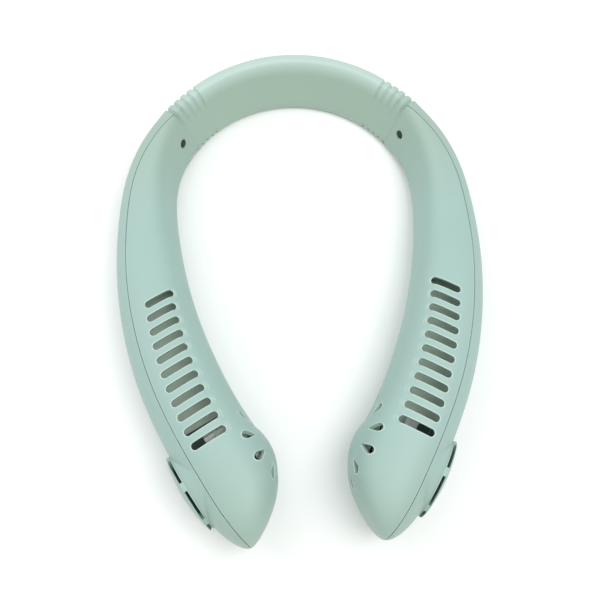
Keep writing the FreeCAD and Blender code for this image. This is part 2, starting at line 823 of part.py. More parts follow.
def make_cap(prefix, side):
    """The crowned intake cap: a hollow puck with windows in its rim and a spigot that enters the cover."""
    first_window = QUARTER_TURN + side * size.cap_window_turn_angle - size.cap_window_angle / 2
    rim = cylinder(prefix + "CapRim", "Sizes.cap_radius", "Sizes.cap_rim_height + Sizes.cap_crown")
    puck = common(prefix + "CapPuck", rim, crown_ball(prefix + "CapBall", "0"))
    spigot = cylinder(prefix + "CapSpigot", "Sizes.cap_bore_radius - Sizes.fit_gap", "Sizes.cap_spigot",
                      "-Sizes.cap_spigot")
    solid = fused(prefix + "CapSolid", [puck, spigot])
    space = cylinder(prefix + "CapSpace", "Sizes.cap_bore_radius - Sizes.fit_gap - Sizes.cap_spigot_wall",
                     "Sizes.cap_spigot + Sizes.overrun + Sizes.cap_rim_height + Sizes.cap_crown",
                     "-Sizes.cap_spigot - Sizes.overrun")
    bore = common(prefix + "CapBore", space, crown_ball(prefix + "CapHollow", "Sizes.cap_wall"))
    windows = [bore]
    for index in range(CAP_WINDOW_COUNT):
        window = cylinder(f"{prefix}CapWindow{index}", "Sizes.cap_radius + Sizes.overrun",
                          "Sizes.cap_window_height", "Sizes.cap_window_foot")
        window.setExpression("Angle", "Sizes.cap_window_angle")
        window.Placement.Rotation = Rotation(UP, first_window + 360 * index / CAP_WINDOW_COUNT)
        windows.append(window)
    return cut(prefix + "Cap", solid, fused(prefix + "CapOpenings", windows))


def make_plate(prefix):
    disc = cylinder(prefix + "PlateDisc", "Sizes.plate_radius", "Sizes.plate_thickness", "-Sizes.plate_level")
    holes = [cylinder(prefix + "PlateBore", "Sizes.bush_radius + Sizes.running_gap",
                      "Sizes.plate_thickness + 2 * Sizes.overrun", "-Sizes.plate_level - Sizes.overrun")]
    for index, place in enumerate(motor_screw_places()):
        hole = cylinder(f"{prefix}PlateHole{index}", "Sizes.motor_screw_radius + Sizes.running_gap",
                        "Sizes.plate_thickness + 2 * Sizes.overrun", "-Sizes.plate_level - Sizes.overrun")
        hole.Placement.Base.x = place.x
        hole.Placement.Base.y = place.y
        holes.append(hole)
    return cut(prefix + "Plate", disc, fused(prefix + "PlateHoles", holes))


def make_screw(name, head_radius, head_height, shank_radius, shank_length):
    """A screw whose head sits on local height zero, with its shank below."""
    head = cylinder(name + "Head", head_radius, head_height)
    shank = cylinder(name + "Shank", shank_radius, shank_length, f"-({shank_length})")
    return fused(name, [head, shank])


def make_stator(prefix):
    body = doc.addObject("PartDesign::Body", prefix + "Stator")
    ring = body_sketch(body, prefix + "StatorRing", "Sizes.plate_thickness - Sizes.plate_level")
    add_circle(ring, "Sizes.stator_radius")
    add_circle(ring, "Sizes.bush_radius + Sizes.running_gap")
    pad(body, ring, "Sizes.stator_height")
    doc.recompute()
    slot = body_sketch(body, prefix + "StatorSlot", "Sizes.plate_thickness - Sizes.plate_level")
    add_rectangle(slot, "Sizes.stator_radius - Sizes.stator_slot_depth",
                  "Sizes.stator_radius + Sizes.overrun", "Sizes.stator_slot_width / 2")
    groove = body.newObject("PartDesign::Pocket", prefix + "StatorGroove")
    groove.Profile = slot
    groove.Reversed = True
    groove.setExpression("Length", "Sizes.stator_height")
    doc.recompute()
    around_axis(body, groove, STATOR_SLOT_COUNT)
    return body


CAN_TOP = "Sizes.plate_thickness - Sizes.plate_level + Sizes.stator_height + Sizes.can_gap + Sizes.can_wall"
CAN_RADIUS = "(Sizes.stator_radius + Sizes.can_gap + Sizes.can_wall)"
CAN_BOTTOM = "(Sizes.plate_thickness - Sizes.plate_level + Sizes.can_lift)"


def make_bush(prefix):
    sleeve = cylinder(prefix + "BushSleeve", "Sizes.bush_radius",
                      "Sizes.plate_thickness + Sizes.stator_height", "-Sizes.plate_level")
    bore = cylinder(prefix + "BushBore", "Sizes.shaft_radius + Sizes.running_gap",
                    "Sizes.plate_thickness + Sizes.stator_height + 2 * Sizes.overrun",
                    "-Sizes.plate_level - Sizes.overrun")
    return cut(prefix + "Bush", sleeve, bore)


def make_can(prefix):
    shell = cylinder(prefix + "CanShell", CAN_RADIUS, f"{CAN_TOP} - {CAN_BOTTOM}", CAN_BOTTOM)
    hollow = cylinder(prefix + "CanHollow", "Sizes.stator_radius + Sizes.can_gap",
                      f"{CAN_TOP} - {CAN_BOTTOM} - Sizes.can_wall + Sizes.overrun",
                      f"{CAN_BOTTOM} - Sizes.overrun")
    bore = cylinder(prefix + "CanBore", "Sizes.shaft_radius", "Sizes.can_wall + 2 * Sizes.overrun",
                    f"{CAN_TOP} - Sizes.can_wall - Sizes.overrun")
    return cut(prefix + "Can", shell, fused(prefix + "CanSpace", [hollow, bore]))


def make_shaft(prefix):
    return cylinder(prefix + "Shaft", "Sizes.shaft_radius", f"{CAN_TOP} + Sizes.plate_level - Sizes.can_wall")


def make_impeller(prefix):
    """A hub that sits on the rotor can, a disc and leaning blades on both sides of the disc."""
    body = doc.addObject("PartDesign::Body", prefix + "Impeller")
    disc = body_sketch(body, prefix + "Disc", CAN_TOP)
    add_circle(disc, "Sizes.impeller_radius")
    pad(body, disc, "Sizes.disc_thickness")
    doc.recompute()
    hub = body_sketch(body, prefix + "Hub", CAN_BOTTOM)
    add_circle(hub, f"{CAN_RADIUS} + Sizes.hub_wall")
    add_circle(hub, CAN_RADIUS)
    pad(body, hub, f"{CAN_TOP} - {CAN_BOTTOM}")
    doc.recompute()
    root = body_sketch(body, prefix + "Blade", f"{CAN_TOP} + (Sizes.disc_thickness - Sizes.blade_height) / 2")
    add_rectangle(root, "Sizes.blade_inner_radius * cos(Sizes.blade_lean_angle)",
                  "Sizes.impeller_radius - Sizes.disc_thickness", "Sizes.blade_thickness / 2")
    root.setExpression(".AttachmentOffset.Base.y", "-Sizes.blade_inner_radius * sin(Sizes.blade_lean_angle)")
    blade = pad(body, root, "Sizes.blade_height")
    doc.recompute()
    around_axis(body, blade, BLADE_COUNT)
    return body


def make_arm_pieces(side, name, core):
    """The pieces of one arm and its fan. The free forms are mirrored for the left arm."""
    def mirrored(shape):
        return shape if side > 0 else shape.mirror(Vector(0, 0, 0), MIRROR_AXIS)

    prefix = name.capitalize()
    frame = fan_frame(side)
    add_shape(f"{name}_band_anchor", mirrored(make_anchor(core)))
    add_shape(f"{name}_duct_wall", mirrored(make_duct_wall(core)))
    add_shape(f"{name}_battery_cradle", mirrored(make_cradle(core)))
    place_later(add_object(f"{name}_intake_cap", make_cap(prefix, side)),
                frame.multiply(Placement(UP * size.cap_seat_level, Rotation())))
    place_later(add_object(f"{name}_motor_plate", make_plate(prefix)), frame)
    place_later(add_object(f"{name}_motor_stator", make_stator(prefix)), frame)
    place_later(add_object(f"{name}_motor_bush", make_bush(prefix)), frame)
    place_later(add_object(f"{name}_rotor_can", make_can(prefix)), frame)
    place_later(add_object(f"{name}_motor_shaft", make_shaft(prefix)),
                frame.multiply(Placement(UP * (size.can_wall - size.plate_level), Rotation())))
    place_later(add_object(f"{name}_impeller", make_impeller(prefix)), frame)

    cell = cylinder(prefix + "Cell", "Sizes.battery_radius", "Sizes.battery_length")
    middle, heading = battery_frame()
    start = middle - heading * (size.battery_length / 2)
    place_later(add_object(f"{name}_battery", cell), on_axis(side, start, heading))

    screws = []
    for index, place in enumerate(motor_screw_places()):
        screw = make_screw(f"{prefix}MotorScrew{index}", "Sizes.motor_screw_head_radius",
                           "Sizes.motor_screw_head_height", "Sizes.motor_screw_radius",
                           "Sizes.motor_screw_length")
        seat = Placement(place + UP * size.plate_thickness, Rotation())
        place_later(screw, frame.multiply(seat))
        screws.append(screw)
    add_object(f"{name}_motor_screws", grouped(prefix + "MotorScrews", screws))

    screws = []
    for index, section in enumerate(post_sections()):
        screw = make_screw(f"{prefix}CoverScrew{index}", "Sizes.screw_head_radius",
                           "Sizes.screw_head_height", "Sizes.screw_shank_radius",
                           "Sizes.screw_grip + Sizes.seam_gap + Sizes.screw_bite")
        place_later(screw, on_axis(side, section.point(post_seat(section), -size.post_drop),
                                   section.across_axis))
        screws.append(screw)
    add_object(f"{name}_cover_screws", grouped(prefix + "CoverScrews", screws))

    screw = make_screw(prefix + "AnchorScrew", "Sizes.anchor_head_radius", "Sizes.anchor_head_height",
                       "Sizes.anchor_shank_radius", "Sizes.anchor_shank_length")
    seat = ANCHOR_SECTION.point(-anchor_screw_seat(), 0)
    place_later(add_object(f"{name}_anchor_screw", screw),
                on_axis(side, seat, ANCHOR_SECTION.across_axis * -1))


later_places = []


def place_later(feature, placement):
    """Remembers where a feature goes. It is moved there when the centring is known."""
    later_places.append((feature, placement))
    return feature


def on_axis(side, base, axis):
    """A place whose local Z follows an axis of the right arm, mirrored for the left arm."""
    base = Vector(side * base.x, base.y, base.z)
    axis = Vector(side * axis.x, axis.y, axis.z)
    return Placement(base, Rotation(UP, axis))


def grouped(name, features):
    group = doc.addObject("Part::Compound", name)
    group.Links = features
    return group


# Controls in the right arm

def board_frame():
    """Local X runs along the arm, local Y up and local Z outwards from the board's outer face."""
    section = arm_section(size.board_at)
    base = section.centre + section.outward * (size.board_offset + size.board_thickness)
    base += UP * size.board_floor
    return Placement(base, Rotation(UP.cross(section.outward), UP, section.outward, "ZYX")), section


def cover_reach(section):
    """Distance from the board's outer face to the outer side of the cover, at the height of the controls."""
    below = size.control_height - section.middle
    return section.reach(below) - size.board_offset - size.board_thickness


def button_travel_space():
    return size.switch_height - size.button_entry


def make_controls():
    frame, section = board_frame()
    lift = size.control_height - size.board_floor
    board = block("Board", "Sizes.board_length", "Sizes.board_height", "Sizes.board_thickness",
                  x="-Sizes.board_length / 2", z="-Sizes.board_thickness")
    place_later(add_object("control_board", cut("BoardPlain", board, cylinder(
        "BoardHole", "Sizes.chip_height", "Sizes.overrun", "-Sizes.overrun / 2"))), frame)

    chips = []
    for index in range(CHIP_COUNT):
        chip = block(f"Chip{index}", "Sizes.chip_side", f"Sizes.chip_side / {index + 1}", "Sizes.chip_height")
        spot = Vector(-size.board_length / 2 + size.chip_height, size.chip_height, 0)
        spot += Vector(0, index * (size.chip_side - size.chip_height), 0)
        place_later(chip, frame.multiply(Placement(spot, Rotation())))
        chips.append(chip)
    add_object("board_components", grouped("BoardParts", chips))

    shell = block("SocketShell", "Sizes.socket_width", "Sizes.socket_height", "Sizes.socket_depth",
                  x="-Sizes.socket_width / 2", z="-Sizes.socket_depth")
    mouth = block("SocketMouth", "Sizes.socket_width - 2 * Sizes.socket_wall",
                  "Sizes.socket_height - Sizes.socket_depth / 2 + Sizes.overrun",
                  "Sizes.socket_depth - 2 * Sizes.socket_wall",
                  x="Sizes.socket_wall - Sizes.socket_width / 2", y="-Sizes.overrun",
                  z="Sizes.socket_wall - Sizes.socket_depth")
    tongue = block("SocketTongue", "Sizes.socket_width - 2 * Sizes.socket_depth",
                   "Sizes.socket_height - Sizes.socket_tongue", "Sizes.socket_tongue",
                   x="Sizes.socket_depth - Sizes.socket_width / 2", y="Sizes.socket_tongue",
                   z="-(Sizes.socket_depth + Sizes.socket_tongue) / 2")
    socket = fused("Socket", [cut("SocketHollow", shell, mouth), tongue])
    seat = Placement(Vector(0, size.socket_lift - size.board_floor, -size.board_thickness), Rotation())
    place_later(add_object("charging_socket", socket), frame.multiply(seat))

    body = block("SwitchBody", "Sizes.switch_side", "Sizes.switch_side", "Sizes.switch_height",
                 x="-Sizes.switch_side / 2", y="-Sizes.switch_side / 2")
    bore = cylinder("SwitchBore", "Sizes.switch_bore_radius", "Sizes.switch_bore_depth + Sizes.overrun",
                    "Sizes.switch_height - Sizes.switch_bore_depth")
    control = frame.multiply(Placement(Vector(size.button_at, lift, 0), Rotation()))
    place_later(add_object("tact_switch", cut("Switch", body, bore)), control)

    reach = cover_reach(section)
    stem_start = button_travel_space()
    inside = reach - size.cover_wall - size.fit_gap
    stem = rod(UP * stem_start, UP, size.button_stem_radius, inside - stem_start)
    flange = rod(UP * (inside - size.button_flange_thickness - size.cover_wall), UP,
                 size.button_radius + size.button_flange, size.button_flange_thickness)
    face = rod(UP * (inside - size.button_flange_thickness - size.cover_wall), UP, size.button_radius,
               size.button_flange_thickness + 2 * size.cover_wall + size.fit_gap + size.button_proud)
    button = stem.fuse([flange, face])
    button.Placement = control
    add_shape("power_button", button)

    light = rod(Vector(0, 0, 0), UP, size.light_radius, reach)
    light.Placement = frame.multiply(Placement(Vector(size.button_at - size.light_at, lift, 0), Rotation()))
    add_shape("light_guide", light)
    return control, frame, section, lift, reach


def open_for_controls(inner, outer, controls):
    """The right covers with the openings for the button, the light guide and the charging socket."""
    control, frame, section, lift, reach = controls
    pocket_top = reach - 2 * size.cover_wall - size.fit_gap
    shaft = rod(Vector(0, 0, 0), UP, size.button_radius + size.fit_gap, reach + size.overrun)
    shaft.Placement = control
    pocket = rod(Vector(0, 0, 0), UP, size.button_radius + size.button_flange + size.fit_gap, pocket_top)
    pocket.Placement = control
    light = rod(Vector(0, 0, 0), UP, size.light_radius + size.running_gap, reach + size.overrun)
    light.Placement = frame.multiply(Placement(Vector(size.button_at - size.light_at, lift, 0), Rotation()))
    outer = outer.cut([shaft, pocket, light])
    middle = section.centre + section.outward * (size.board_offset - size.socket_depth / 2)
    edges = stadium_edges(middle, section.heading, size.socket_width + 2 * size.fit_gap,
                          size.socket_depth + 2 * size.fit_gap)
    mouth = plan_prism(edges, -size.overrun, size.board_floor + size.overrun)
    return inner.cut(mouth), outer


# The whole fan

def make_fan():
    inner, outer = make_covers()
    core = rest_cut(arm_loft(size.cover_wall + size.fit_gap, -size.overrun))
    left_inner = inner.mirror(Vector(0, 0, 0), MIRROR_AXIS)
    left_outer = outer.mirror(Vector(0, 0, 0), MIRROR_AXIS)
    right_inner, right_outer = open_for_controls(inner, outer, make_controls())
    add_shape("left_inner_cover", left_inner)
    add_shape("left_outer_cover", left_outer)
    add_shape("right_inner_cover", right_inner)
    add_shape("right_outer_cover", right_outer)
    band = make_band()
    sleeve = make_sleeve(core)
    add_shape("neck_band", band)
    add_shape("right_sleeve", sleeve)
    add_shape("left_sleeve", sleeve.mirror(Vector(0, 0, 0), MIRROR_AXIS))
    add_shape("spring_strip", make_strip(0.0))
    add_shape("link_cable", make_cable(0.0))
    for side, name in ((-1, "left"), (1, "right")):
        make_arm_pieces(side, name, core)
    doc.recompute()
    back = band.optimalBoundingBox().YMax
    front = min(cover.optimalBoundingBox().YMin for cover in (inner, outer))
    return Vector(0, -(front + back) / 2, 0)


def put_in_place(shift):
    """Moves every piece so that the origin lies under the middle of the fan's outline."""
    centring = Placement(shift, Rotation())
    for feature, placement in later_places:
        feature.Placement = centring.multiply(placement)
    for feature in subparts.values():
        if feature.TypeId == "Part::Feature":
            feature.Placement = centring.multiply(feature.Placement)
    doc.recompute()


def check_and_write():
    for item in doc.Objects:
        if "Invalid" in item.State or "Error" in item.State:
            raise RuntimeError(f"{item.Name} failed: {item.State}")
    for label, feature in subparts.items():
        if feature.Shape.isNull() or not feature.Shape.isValid():
            raise RuntimeError(f"{label} has no valid shape")
    os.makedirs("parts", exist_ok=True)
    for label, feature in subparts.items():
        feature.Shape.exportStep(f"parts/{label}.step")


shift = make_fan()
put_in_place(shift)
check_and_write()
hinge = plan_direction((size.band_half_angle + size.root_angle) / 2) * size.neck_radius + shift
print("sub-parts", len(subparts))
print("flex axis of the right arm", [round(value, 3) for value in hinge])
print("neck centre", [round(value, 3) for value in shift])
print("right fan centre", [round(value, 3) for value in fan_frame(1).Base + shift])
print("right fan axis", [round(value, 5) for value in fan_frame(1).Rotation.multVec(UP)])
print("button place", [round(value, 3) for value in subparts["power_button"].Placement.Base])
print("button axis", [round(value, 5) for value in subparts["power_button"].Placement.Rotation.multVec(UP)])
rest = arm_section(size.battery_at).centre + shift
print("right rest point", [round(value, 3) for value in rest])
rest = plan_direction(0) * size.neck_radius + shift
print("band rest point", [round(value, 3) for value in rest])
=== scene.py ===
import math

import bmesh
import bpy
from mathutils import Color, Matrix, Vector


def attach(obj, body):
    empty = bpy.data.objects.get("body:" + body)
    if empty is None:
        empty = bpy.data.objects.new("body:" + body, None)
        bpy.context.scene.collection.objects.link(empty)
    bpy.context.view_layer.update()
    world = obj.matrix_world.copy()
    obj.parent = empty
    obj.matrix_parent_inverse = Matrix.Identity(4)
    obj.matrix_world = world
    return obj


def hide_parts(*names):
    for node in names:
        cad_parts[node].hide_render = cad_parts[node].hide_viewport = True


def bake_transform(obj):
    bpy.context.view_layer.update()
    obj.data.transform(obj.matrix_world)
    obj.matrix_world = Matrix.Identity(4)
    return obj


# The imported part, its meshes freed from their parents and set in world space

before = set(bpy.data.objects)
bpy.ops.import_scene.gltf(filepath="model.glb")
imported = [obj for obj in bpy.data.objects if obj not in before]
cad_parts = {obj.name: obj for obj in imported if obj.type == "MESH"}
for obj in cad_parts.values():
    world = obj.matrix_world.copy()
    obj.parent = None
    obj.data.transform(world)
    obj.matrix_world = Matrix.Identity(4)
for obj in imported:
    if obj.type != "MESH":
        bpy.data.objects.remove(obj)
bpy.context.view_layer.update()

# Sizes of the band and of the strands inside it, in metres, as in the part

MM = 0.001
UP = Vector((0, 0, 1))
NECK_CENTRE = Vector((0, 43.55 * MM, 0))
NECK_RADIUS = 80 * MM
LEAN = math.radians(26)
BAND_END = math.radians(37)
ARM_ROOT = math.radians(50.5)
STRAND_END = math.radians(58.59)
BAND_THICKNESS = 10.5 * MM
BAND_HEIGHT = 32 * MM
BAND_MIDDLE = 14.69 * MM
ROOT_HEIGHT = 33 * MM
ROOT_MIDDLE = 15.2 * MM
STRIP_RISE = 5.5 * MM
STRIP_THICKNESS = 0.7 * MM
STRIP_HEIGHT = 10 * MM
CABLE_RISE = -6.5 * MM
CABLE_DIAMETER = 2.2 * MM

# How the pieces are divided and rounded. Corners are shares of half a side, first inner, then outer

BAND_CORNERS = (0.5, 0.62)
BAND_CORNER_CUTS = 6
BAND_SIDE_CUTS = 4
BAND_STEPS = 40
BAND_LEVELS = 1
SLEEVE_STEPS = 22
SLEEVE_LEVELS = 2
STRIP_CORNERS = (0.3, 0.3)
STRIP_CORNER_CUTS = 2
CABLE_CORNERS = (0.98, 0.98)
CABLE_CORNER_CUTS = 5
STRAND_STEPS = 36
SIDE_EDGE = 0.4999
SMOOTH_ANGLE = math.radians(40)
FLAT_WITHIN = 0.001 * MM

# Grooves between the ridges of a sleeve. On its inner face they fade over shares of the half height

GROOVE_FIRST = 1
GROOVE_EVERY = 5
GROOVE_DEPTH = 1.7 * MM
GROOVE_LEVELS = (0.25, 0.5, 0.75, 1.0)
GROOVE_REACH = 0.1 * MM
INNER_FACE = -0.3 * BAND_THICKNESS
TOP_FADE = (0.05, 0.75)
FOOT_FADE = (0.72, 0.92)


# Modelling helpers

def choose(piece):
    """Makes a piece the only one that operators act on."""
    bpy.ops.object.select_all(action="DESELECT")
    bpy.context.view_layer.objects.active = piece
    piece.select_set(True)


def work_on(piece):
    """Opens a piece in edit mode, with all of it selected."""
    choose(piece)
    bpy.ops.object.mode_set(mode="EDIT")
    bpy.ops.mesh.select_mode(type="VERT")
    bpy.ops.mesh.select_all(action="SELECT")


def leave():
    bpy.ops.object.mode_set(mode="OBJECT")


def pick(piece, wanted):
    """Selects the points of a piece in edit mode by their place."""
    bpy.ops.mesh.select_all(action="DESELECT")
    mesh = bmesh.from_edit_mesh(piece.data)
    for point in mesh.verts:
        point.select_set(wanted(point.co))
    mesh.select_flush_mode()
    bmesh.update_edit_mesh(piece.data)


def face_outwards():
    """Turns the faces of the piece in edit mode outwards."""
    bpy.ops.mesh.select_all(action="SELECT")
    bpy.ops.mesh.normals_make_consistent(inside=False)


def close_ends(piece):
    work_on(piece)
    bpy.ops.mesh.fill_holes(sides=0)
    face_outwards()
    leave()


def flatten_foot(piece):
    """Cuts the underside flat where the piece rests on the table."""
    work_on(piece)
    bpy.ops.mesh.bisect(plane_co=(0, 0, 0), plane_no=UP, use_fill=True, clear_inner=True,
                        threshold=FLAT_WITHIN)
    face_outwards()
    leave()


def subdivide(piece, levels):
    """Rounds a piece by a subdivision surface, applied to its mesh."""
    modifier = piece.modifiers.new("Subdivision", "SUBSURF")
    modifier.levels = levels
    modifier.render_levels = levels
    choose(piece)
    bpy.ops.object.modifier_apply(modifier=modifier.name)


def smooth(piece):
    """Shades a piece smooth, apart from its sharp edges."""
    choose(piece)
    bpy.ops.object.shade_smooth_by_angle(angle=SMOOTH_ANGLE)


def mirrored(piece, name):
    """A copy of a piece on the left side."""
    choose(piece)
    bpy.ops.object.duplicate()
    copy = bpy.context.object
    copy.name = name
    copy.data.name = name
    work_on(copy)
    bpy.ops.transform.resize(value=(-1, 1, 1), center_override=(0, 0, 0))
    face_outwards()
    leave()
    return copy


def progress(value, start, end):
    """How far a value has come from start to end. It also takes a Level."""
    return (value - start) / (end - start)


# Neck band, bending sleeves and the strands inside them

class NeckSection:
    """A section across the band, which leans outwards at its top."""

    def __init__(self, angle, middle):
        outward = Vector((math.sin(angle), math.cos(angle), 0))
        self.centre = NECK_CENTRE + outward * NECK_RADIUS + UP * middle
        self.across = outward * math.cos(LEAN) - UP * math.sin(LEAN)
        self.rise = outward * math.sin(LEAN) + UP * math.cos(LEAN)
        self.heading = self.across.cross(self.rise)

    def read(self, point):
        """Where a point is from the centre: across the section, up it, and ahead of it."""
        offset = point - self.centre
        return offset.dot(self.across), offset.dot(self.rise), offset.dot(self.heading)

    def turn(self):
        return Matrix((self.across, self.rise, self.heading)).transposed().to_euler()


def start_ring(name, angle, thickness, height, corners, corner_cuts, side_cuts=0, rise=0.0):
    """An open ring across the band, with rounded corners. It starts as a square with its sides at 0.5."""
    section = NeckSection(angle, BAND_MIDDLE)
    bpy.ops.object.select_all(action="DESELECT")
    bpy.ops.mesh.primitive_plane_add(size=1, location=section.centre + section.rise * rise,
                                     rotation=section.turn())
    ring = bpy.context.object
    ring.name = name
    ring.data.name = name
    ring.scale = (thickness, height, 1)
    work_on(ring)
    for side, corner in zip((-1, 1), corners):
        pick(ring, lambda point: point.x * side > SIDE_EDGE)
        bpy.ops.mesh.bevel(offset=corner / 2, segments=corner_cuts, affect="VERTICES")
    bpy.ops.mesh.select_all(action="SELECT")
    bpy.ops.mesh.delete(type="ONLY_FACE")
    if side_cuts:
        for side in (-1, 1):
            pick(ring, lambda point: point.x * side > SIDE_EDGE)
            bpy.ops.mesh.subdivide(number_cuts=side_cuts)
    leave()
    bpy.ops.object.transform_apply(location=True, rotation=True, scale=True)
    return ring


def sweep_round_neck(ring, start, end, steps, growth=1.0, start_middle=0.0, end_middle=0.0):
    """Extrudes an open ring round the neck, a step at a time. It can widen and rise as it goes."""
    turn = (end - start) / steps
    lift = (end_middle - start_middle) / steps
    step_growth = growth ** (1 / steps)
    work_on(ring)
    for index in range(steps):
        bpy.ops.mesh.extrude_region()
        bpy.ops.transform.rotate(value=turn, orient_axis="Z", center_override=NECK_CENTRE)
        if growth != 1.0:
            section = NeckSection(start + turn * (index + 1), start_middle + lift * index)
            bpy.ops.transform.resize(value=(step_growth,) * 3, center_override=section.centre)
            bpy.ops.transform.translate(value=(0, 0, lift))
    leave()


def start_skin(name, angle):
    """The ring that the band and the sleeves start from."""
    return start_ring(name, angle, BAND_THICKNESS, BAND_HEIGHT,
                      BAND_CORNERS, BAND_CORNER_CUTS, BAND_SIDE_CUTS)


def finish_skin(skin, levels):
    """Rounds a swept skin, closes it and sets it flat on the table."""
    subdivide(skin, levels)
    close_ends(skin)
    flatten_foot(skin)
    smooth(skin)


def make_neck_band():
    band = start_skin("neck_band_skin", -BAND_END)
    sweep_round_neck(band, -BAND_END, BAND_END, BAND_STEPS)
    finish_skin(band, BAND_LEVELS)
    return band


def groove_share(across, rise, ahead):
    """How deep a groove is at a place near its section: full outside, gone on the inner face."""
    if abs(ahead) >= GROOVE_REACH:
        return 0.0
    if across > INNER_FACE:
        return 1.0
    height = 2 * rise / BAND_HEIGHT
    if height > 0:
        return progress(height, *TOP_FADE)
    return progress(-height, *FOOT_FADE)


def press_groove(sleeve, section):
    """Presses the ring of points at a section inwards, a level at a time."""
    for level in GROOVE_LEVELS:
        pick(sleeve, lambda point: groove_share(*section.read(point)) >= level)
        bpy.ops.transform.shrink_fatten(value=-GROOVE_DEPTH / len(GROOVE_LEVELS))


def make_right_sleeve():
    sleeve = start_skin("right_sleeve_skin", BAND_END)
    sweep_round_neck(sleeve, BAND_END, ARM_ROOT, SLEEVE_STEPS, ROOT_HEIGHT / BAND_HEIGHT,
                     BAND_MIDDLE, ROOT_MIDDLE)
    work_on(sleeve)
    for step in range(GROOVE_FIRST, SLEEVE_STEPS, GROOVE_EVERY):
        share = step / SLEEVE_STEPS
        press_groove(sleeve, NeckSection(BAND_END + (ARM_ROOT - BAND_END) * share,
                                         BAND_MIDDLE + (ROOT_MIDDLE - BAND_MIDDLE) * share))
    leave()
    finish_skin(sleeve, SLEEVE_LEVELS)
    return sleeve


def make_right_strand(name, rise, thickness, height, corners, corner_cuts):
    """A strand inside the band, from the nape into the right arm."""
    strand = start_ring(name, 0.0, thickness, height, corners, corner_cuts, rise=rise)
    sweep_round_neck(strand, 0.0, STRAND_END, STRAND_STEPS)
    close_ends(strand)
    smooth(strand)
    return strand


# Where colours change: along Y on the arms, along Z at the band's rim, round the neck on the sleeves

ARM_MIDDLE = -25 * MM
ENDS_NEAR = 60 * MM
ENDS_FAR = 112 * MM
# The painted highlight on the edges round the vents stops beyond this Y
VENTS_END = 20 * MM
# Heights over which the painted highlight on the band's rim fades in
RIM_FOOT = 24 * MM
RIM_CREST = 30.5 * MM
SLEEVE_NEAR = math.tan(BAND_END)
SLEEVE_FAR = math.tan(ARM_ROOT)

# Strength and scale of patterns

EDGE_SAMPLES = 8
EDGE_GAIN = 4.0
# Width of the painted highlight along the edges round the vents
EDGE_HIGHLIGHT_WIDTH = 1.5 * MM
DUST_SHARE = 0.25
COARSE_GRAIN = 3
COARSE_SHARE = 0.4
TRACK_EDGE = 0.62


# Nodes of the finishes

class Level:
    """A number socket. The operators on it add Math nodes."""

    def __init__(self, finish, socket):
        self.finish = finish
        self.socket = socket

    def math(self, operation, first, second):
        made = self.finish.node("ShaderNodeMath", {"operation": operation}, {0: first, 1: second})
        return Level(self.finish, made.outputs[0])

    def __add__(self, other):
        return self.math("ADD", self, other)

    def __radd__(self, other):
        return self.math("ADD", other, self)

    def __sub__(self, other):
        return self.math("SUBTRACT", self, other)

    def __rsub__(self, other):
        return self.math("SUBTRACT", other, self)

    def __mul__(self, other):
        return self.math("MULTIPLY", self, other)

    def __rmul__(self, other):
        return self.math("MULTIPLY", other, self)

    def __truediv__(self, other):
        return self.math("DIVIDE", self, other)

    def __gt__(self, other):
        return self.math("GREATER_THAN", self, other)

    def __abs__(self):
        return self.math("ABSOLUTE", self, 0.0)


